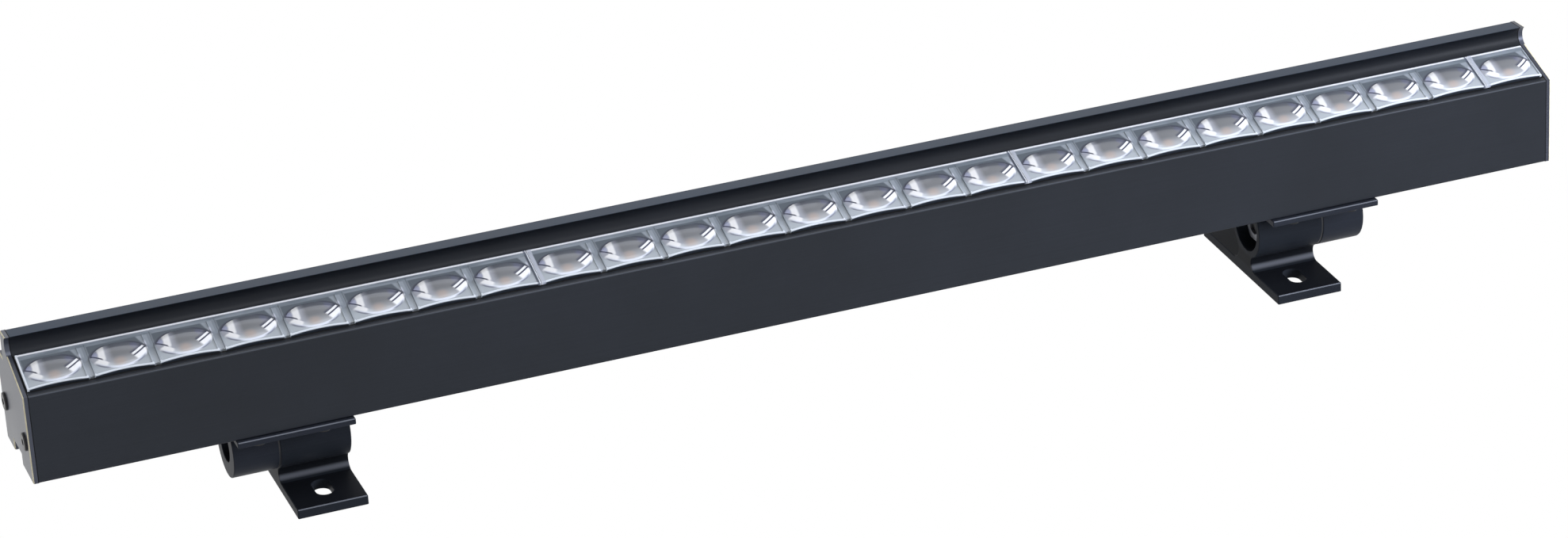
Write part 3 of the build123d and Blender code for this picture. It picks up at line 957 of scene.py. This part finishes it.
@dataclass(frozen=True)
class LensStrip:
    """Moulded acrylic strip in four lengths, one cell for each LED.

    The strip lies on the sloping mouth of the housing.  Its own axes are x
    along the light, u up the slope from the front lip and v out of the slope.
    """

    pitch: float = 20.0
    modules: tuple[int, ...] = (8, 8, 8, 1)
    left_end: float = -250.0
    front_y: float = -23.6
    lip_height: float = 56.7
    slope: float = 17.3
    front: float = 2.35
    back: float = 17.95
    flange: float = 1.5
    flange_round: float = 0.18
    seat: float = -1.6
    top: float = 0.7
    end_gap: float = 0.35
    module_gap: float = 0.2
    groove: float = 1.8
    groove_floor: float = 0.2
    bridge_front: float = 6.0
    bridge_ramp: float = 4.5
    bridge_drop: float = 0.1
    rim: float = 0.55
    pocket: float = 0.25
    pocket_wall: float = 0.1
    pocket_back: float = 15.5
    scallop: float = 0.78
    scallop_cuts: int = 9
    tile_round: float = 0.16
    tile_fold: float = 60.0  # degrees, rounded edges are sharper
    lap: float = 0.1  # how far parts run into each other
    bed_lap: float = 0.3
    sink: float = 0.05  # keeps faces of two parts apart
    lens_middle: float = 9.4
    lens_long: float = 17.4
    lens_wide: float = 11.0
    lens_rise: float = 0.9
    lens_cut: float = 0.35  # height of the cut over the ball's middle, in half heights
    lens_steps: tuple[int, int] = (48, 24)
    optic_radius: float = 5.9
    optic_tip: float = 3.85
    optic_depth: float = 4.6
    optic_steps: int = 24

    def build(self) -> None:
        """Make the four lengths of the strip."""
        finish = LensAcrylic("lens_acrylic_painted_light", self)
        first = 0
        for number, cells in enumerate(self.modules, start=1):
            Piece(f"lens_strip_{number}", Slot.ACRYLIC, (finish,),
                  (f"lens_module_{number}",)).place(self.length_of(number, first, cells))
            first += cells

    def seams(self) -> list[float]:
        """Places along the light where two lengths meet."""
        return [self.left_end + self.pitch * sum(self.modules[:n])
                for n in range(1, len(self.modules))]

    def slope_matrix(self) -> Matrix:
        """Matrix from the strip's own axes to the frame."""
        origin = Vector((0, self.front_y, self.lip_height)) * MM
        return Matrix.Translation(origin) @ Matrix.Rotation(radians(self.slope), 4, "X")

    def length_of(self, number: int, first: int, cells: int) -> BMesh:
        """Mesh of one length.

        Args:
            number: which length, from 1.
            first: cells to its left.
            cells: its number of cells.

        Returns:
            The mesh, in place in the frame.
        """
        start = self.left_end + first * self.pitch
        end = start + cells * self.pitch
        low = start + (self.end_gap if number == 1 else self.module_gap / 2)
        high = end - (self.end_gap if number == len(self.modules) else self.module_gap / 2)
        mesh = bmesh.new()
        span_box(mesh, (low, self.front + self.scallop, self.seat),
                 (high, self.back - self.flange + self.bed_lap, self.groove_floor))
        flange = bmesh.new()
        span_box(flange, (low, self.back - self.flange, self.seat), (high, self.back, self.top))
        soften(flange, flange.edges, self.flange_round)
        join_part(mesh, flange)
        for k in range(cells):
            left = low if k == 0 else start + k * self.pitch + self.groove / 2
            right = high if k == cells - 1 else start + (k + 1) * self.pitch - self.groove / 2
            middle = start + (k + 0.5) * self.pitch
            join_part(mesh, self.tile(left, right))
            join_part(mesh, self.lens_cap(middle))
            join_part(mesh, self.optic(middle))
            if k:
                join_part(mesh, self.bridge(start + k * self.pitch))
        bmesh.ops.transform(mesh, matrix=self.slope_matrix(), verts=mesh.verts)
        return mesh

    def bridge(self, seam: float) -> BMesh:
        """Web that fills the back of a groove and runs out in a ramp.

        Args:
            seam: the groove's middle.

        Returns:
            The web on the strip's own axes.
        """
        part = bmesh.new()
        half = self.groove / 2 + self.lap
        verts = span_box(
            part, (seam - half, self.bridge_front, self.seat + self.lap),
            (seam + half, self.back - self.flange + self.lap, self.top - self.bridge_drop))
        for vertex in verts:
            if vertex.co.z > 0 and vertex.co.y < (self.bridge_front + self.lap) * MM:
                vertex.co.y += self.bridge_ramp * MM
        return part

    def tile(self, left: float, right: float) -> BMesh:
        """Raised tile of one cell, with a hollow front edge and a sunk pocket.

        Args:
            left: left end of the tile.
            right: right end of the tile.

        Returns:
            The tile on the strip's own axes.
        """
        part = bmesh.new()
        span_box(part, (left, self.front, self.seat + self.sink),
                 (right, self.back - self.flange + self.lap, self.top))
        along = [e for e in part.edges if abs(e.verts[0].co.x - e.verts[1].co.x) > MM]
        bmesh.ops.subdivide_edges(part, edges=along, cuts=self.scallop_cuts, use_grid_fill=True)
        middle, half = (left + right) / 2 * MM, (right - left) / 2 * MM
        for vertex in part.verts:
            if vertex.co.y < (self.front + self.lap) * MM:
                share = (vertex.co.x - middle) / half
                vertex.co.y += self.scallop * MM * (1 - share * share)
        part.normal_update()
        roof = [f for f in part.faces if f.normal.z > LEVEL]
        for width in (self.rim, self.pocket_wall):
            bmesh.ops.inset_region(part, faces=roof, thickness=width * MM, depth=0.0,
                                   use_even_offset=True, use_boundary=True)
        for vertex in {v for f in roof for v in f.verts}:
            vertex.co.z -= self.pocket * MM
            if vertex.co.y > self.lens_middle * MM:
                vertex.co.y = self.pocket_back * MM
        part.normal_update()
        edges = [e for e in part.edges if e.calc_face_angle() > radians(self.tile_fold)
                 and min(v.co.z for v in e.verts) > (self.top - self.sink) * MM
                 and any(f.normal.z < UPRIGHT for f in e.link_faces)]
        soften(part, edges, self.tile_round)
        return part

    def lens_cap(self, x: float) -> BMesh:
        """Oval lens that rises from the pocket of one cell.

        Args:
            x: the cell's middle.

        Returns:
            The lens on the strip's own axes.
        """
        cut = self.lens_cut
        level = self.top - self.pocket - self.sink
        ball_half = (self.lens_rise + self.top - level) / (1 - cut)
        grow = 1 / (1 - cut * cut) ** 0.5
        shape = Matrix.Diagonal((self.lens_long / 2 * grow * MM, self.lens_wide / 2 * grow * MM,
                                 ball_half * MM, 1.0))
        centre = Matrix.Translation(Vector((x, self.lens_middle, level - cut * ball_half)) * MM)
        part = bmesh.new()
        bmesh.ops.create_uvsphere(part, u_segments=self.lens_steps[0],
                                  v_segments=self.lens_steps[1], radius=1.0, matrix=centre @ shape)
        bmesh.ops.bisect_plane(part, geom=part.verts[:] + part.edges[:] + part.faces[:], dist=1e-7,
                               plane_co=(0, 0, level * MM), plane_no=(0, 0, 1), clear_inner=True)
        bmesh.ops.contextual_create(part, geom=[e for e in part.edges if e.is_boundary])
        bmesh.ops.recalc_face_normals(part, faces=part.faces)
        return part

    def optic(self, x: float) -> BMesh:
        """Cone-shaped optic below the lens of one cell.

        Args:
            x: the cell's middle.

        Returns:
            The optic on the strip's own axes.
        """
        part = bmesh.new()
        middle = Vector((x, self.lens_middle, self.seat - self.optic_depth / 2)) * MM
        bmesh.ops.create_cone(part, cap_ends=True, segments=self.optic_steps,
                              radius1=self.optic_tip * MM, radius2=self.optic_radius * MM,
                              depth=self.optic_depth * MM, matrix=Matrix.Translation(middle))
        return part


@dataclass
class LightEngine:
    """What lies under the lenses and in the chamber below them."""

    lengths: int = 4

    def build(self) -> None:
        """Dress the seal, the LED boards and rows, and the driver."""
        dress("lens_seal", SILICONE)
        for number in range(1, self.lengths + 1):
            dress(f"led_board_{number}", LED_BOARD)
            dress(f"led_row_{number}", LED_PACKAGE)
        dress("driver_board", DRIVER_BOARD)
        dress("driver_module", POTTED)
        dress("driver_capacitors", NYLON)
        dress("terminal_block", TERMINAL_GREEN)


@dataclass
class BackFittings:
    """Inlet gland and vent plug on the back."""

    hex_round: float = 0.25

    def build(self) -> None:
        """Make the gland's hexagon and dress the rest."""
        hexagon = machined_copy("gland_body", self.hex_round, highlighted=lambda face: False)
        Piece("gland_hexagon", Slot.NYLON, (NYLON,), ("gland_body",)).place(hexagon)
        dress("gland_nut", NYLON)
        dress("gland_seal", SILICONE)
        dress("vent_plug", NYLON)


@dataclass
class Bracket:
    """One bracket: a clip that slides in the channel and a foot that tilts."""

    side: Side
    edge_round: float = 0.3
    base_top: float = 3.6
    base_level: float = 0.95
    front_edge: float = -26.0

    def build(self) -> None:
        """Make the clip and the foot, and dress the screws and the hinge."""
        end = self.side.value
        clip, foot = Body(f"clip_{end}").value, Body(f"foot_{end}").value
        Piece(f"bracket_clip_{end}", Slot.ALUMINIUM, (CLIP_ALUMINIUM, BRACKET_EDGE_HIGHLIGHT),
              (clip,), clip).place(machined_copy(clip, self.edge_round))
        shape = machined_copy(foot, self.edge_round, highlighted=self.is_front_edge)
        # painted shade on the base plate's top; the clip's upward and forward rounded edges and
        # the base plate's front edge carry a painted highlight
        for face in shape.faces:
            if self.is_base_top(face):
                face.material_index = Skin.DARK
        Piece(f"bracket_foot_{end}", Slot.ALUMINIUM,
              (FOOT_ALUMINIUM, BRACKET_EDGE_HIGHLIGHT, BASE_TOP_SHADE_ALUMINIUM), (foot,), foot).place(shape)
        for place in ("outer", "inner"):
            dress(f"lock_screw_{end}_{place}", BLACK_SCREW)
        dress(f"hinge_bolt_{end}", BLACK_SCREW)
        dress(f"hinge_nut_{end}", ZINC_NUT)
        dress(f"hinge_washer_{end}", WASHER)

    def is_front_edge(self, face: BMFace) -> bool:
        """True for the rounding along the base plate's front edge, which takes a painted
        highlight.
        """
        return is_lit_edge(face) and face.calc_center_median().y / MM < self.front_edge

    def is_base_top(self, face: BMFace) -> bool:
        """True for the flat top of the base plate, which takes painted shade."""
        return (face.normal.z > self.base_level
                and face.calc_center_median().z / MM < self.base_top)


# ---- studio
@dataclass(frozen=True)
class Softbox:
    """A square area lamp aimed at a point, sizes in metres."""

    name: str
    position: Point
    target: Point
    size: float
    power: float
    colour: Rgb

    def hang(self) -> None:
        """Put the lamp in the scene."""
        lamp = bpy.data.lights.new(self.name, "AREA")
        lamp.shape, lamp.size, lamp.energy = "SQUARE", self.size, self.power
        lamp.color = linear(self.colour)[:3]
        thing = link_new(self.name, lamp)
        aim = Vector(self.target) - Vector(self.position)
        thing.location = self.position
        thing.rotation_euler = aim.to_track_quat("-Z", "Y").to_euler()


@dataclass
class Studio:
    """White surroundings, soft lamps and the camera."""

    camera_place: Point = (-489.55, -1406.56, 754.33)
    camera_right: Point = (0.935499, -0.349391, -0.052607)
    camera_down: Point = (-0.196910, -0.391915, -0.898682)
    camera_ahead: Point = (0.293374, 0.851075, -0.435435)
    focal_pixels: float = 6649.26
    sensor: float = 36.0
    clip: Span = (0.05, 50.0)  # nearest and farthest seen, in metres
    floor_half: float = 3.0  # metres
    floor_drop: float = 0.0001  # metres, keeps it clear of the base plates
    floor_colour: Rgb = (225, 225, 228)
    floor_rough: float = 0.9
    ambient: float = 0.27
    boxes: tuple[Softbox, ...] = (
        Softbox("key_above_front", (0.25, -0.6, 1.6), (0.05, 0, 0.03), 1.0, 11.0,
                (246, 248, 255)),
        Softbox("side_right", (0.8, -0.6, 0.35), (0.28, 0, 0.04), 0.45, 9.0, (234, 240, 255)),
        Softbox("side_left", (-1.4, 0.3, 0.5), (-0.2, 0, 0.03), 0.8, 1.0, (236, 241, 255)),
        Softbox("back_above", (0.2, 1.2, 1.1), (0, 0, 0.04), 0.9, 2.6, (236, 241, 255)),
    )

    def build(self) -> None:
        """Set up light, floor and camera."""
        bpy.context.scene.view_settings.view_transform = "Standard"
        self.surround()
        self.lay_floor()
        for box in self.boxes:
            box.hang()
        self.set_camera()

    def seen_directly(self, tree: NodeTree) -> NodeSocket:
        """1 for rays from the camera, a mirror or glass, else 0.

        Args:
            tree: the tree that receives the nodes.

        Returns:
            The socket.
        """
        path = tree.nodes.new("ShaderNodeLightPath")
        total = path.outputs["Is Camera Ray"]
        for name in ("Is Glossy Ray", "Is Transmission Ray"):
            join = tree.nodes.new("ShaderNodeMath")
            join.operation, join.use_clamp = "ADD", True
            tree.links.new(total, join.inputs[0])
            tree.links.new(path.outputs[name], join.inputs[1])
            total = join.outputs[0]
        return total

    def surround(self) -> None:
        """White world that lights the object only at the ambient level."""
        world = bpy.data.worlds.new("white_room")
        bpy.context.scene.world = world
        world.use_nodes = True
        tree = world.node_tree
        back = node_of(tree, "BACKGROUND")
        back.inputs["Color"].default_value = (1, 1, 1, 1)
        blend = tree.nodes.new("ShaderNodeMix")
        blend.inputs["A"].default_value, blend.inputs["B"].default_value = self.ambient, 1.0
        tree.links.new(self.seen_directly(tree), blend.inputs["Factor"])
        tree.links.new(blend.outputs["Result"], back.inputs["Strength"])

    def lay_floor(self) -> None:
        """Pale floor, white to the camera as in the photograph."""
        mesh = bmesh.new()
        bmesh.ops.create_grid(mesh, x_segments=1, y_segments=1, size=self.floor_half,
                              matrix=Matrix.Translation((0, 0, -self.floor_drop)))
        data = bpy.data.meshes.new("floor")
        mesh.to_mesh(data)
        mesh.free()
        floor_thing = link_new("floor", data)
        sheet = Shader("white_floor")
        sheet.coat(Base_Color=self.floor_colour, Roughness=self.floor_rough)
        blend = sheet.add("MixShader", Fac=self.seen_directly(sheet.tree))
        for place, node in enumerate((sheet.surface, sheet.add("Emission")), start=1):
            sheet.feed(blend.inputs[place], node.outputs[0])
        sheet.settings(node_of(sheet.tree, "OUTPUT_MATERIAL"), Surface=blend.outputs[0])
        data.materials.append(sheet.material)

    def set_camera(self) -> None:
        """Camera at the photograph's place, angle and focal length."""
        lens = bpy.data.cameras.new("photo_camera")
        lens.sensor_width = self.sensor
        lens.lens = self.sensor * self.focal_pixels / PHOTO_WIDTH
        lens.clip_start, lens.clip_end = self.clip
        camera = link_new("photo_camera", lens)
        turn = Matrix((self.camera_right, [-c for c in self.camera_down],
                       [-c for c in self.camera_ahead])).transposed()
        camera.matrix_world = Matrix.Translation(Vector(self.camera_place) * MM) @ turn.to_4x4()
        bpy.context.scene.camera = camera


def main() -> None:
    """Build the light and its surroundings."""
    logging.basicConfig(level=logging.INFO, format="%(name)s: %(message)s")
    Studio().build()
    Housing().build()
    LensStrip().build()
    LightEngine().build()
    BackFittings().build()
    for side in Side:
        Bracket(side).build()


if __name__ == "__main__":
    main()
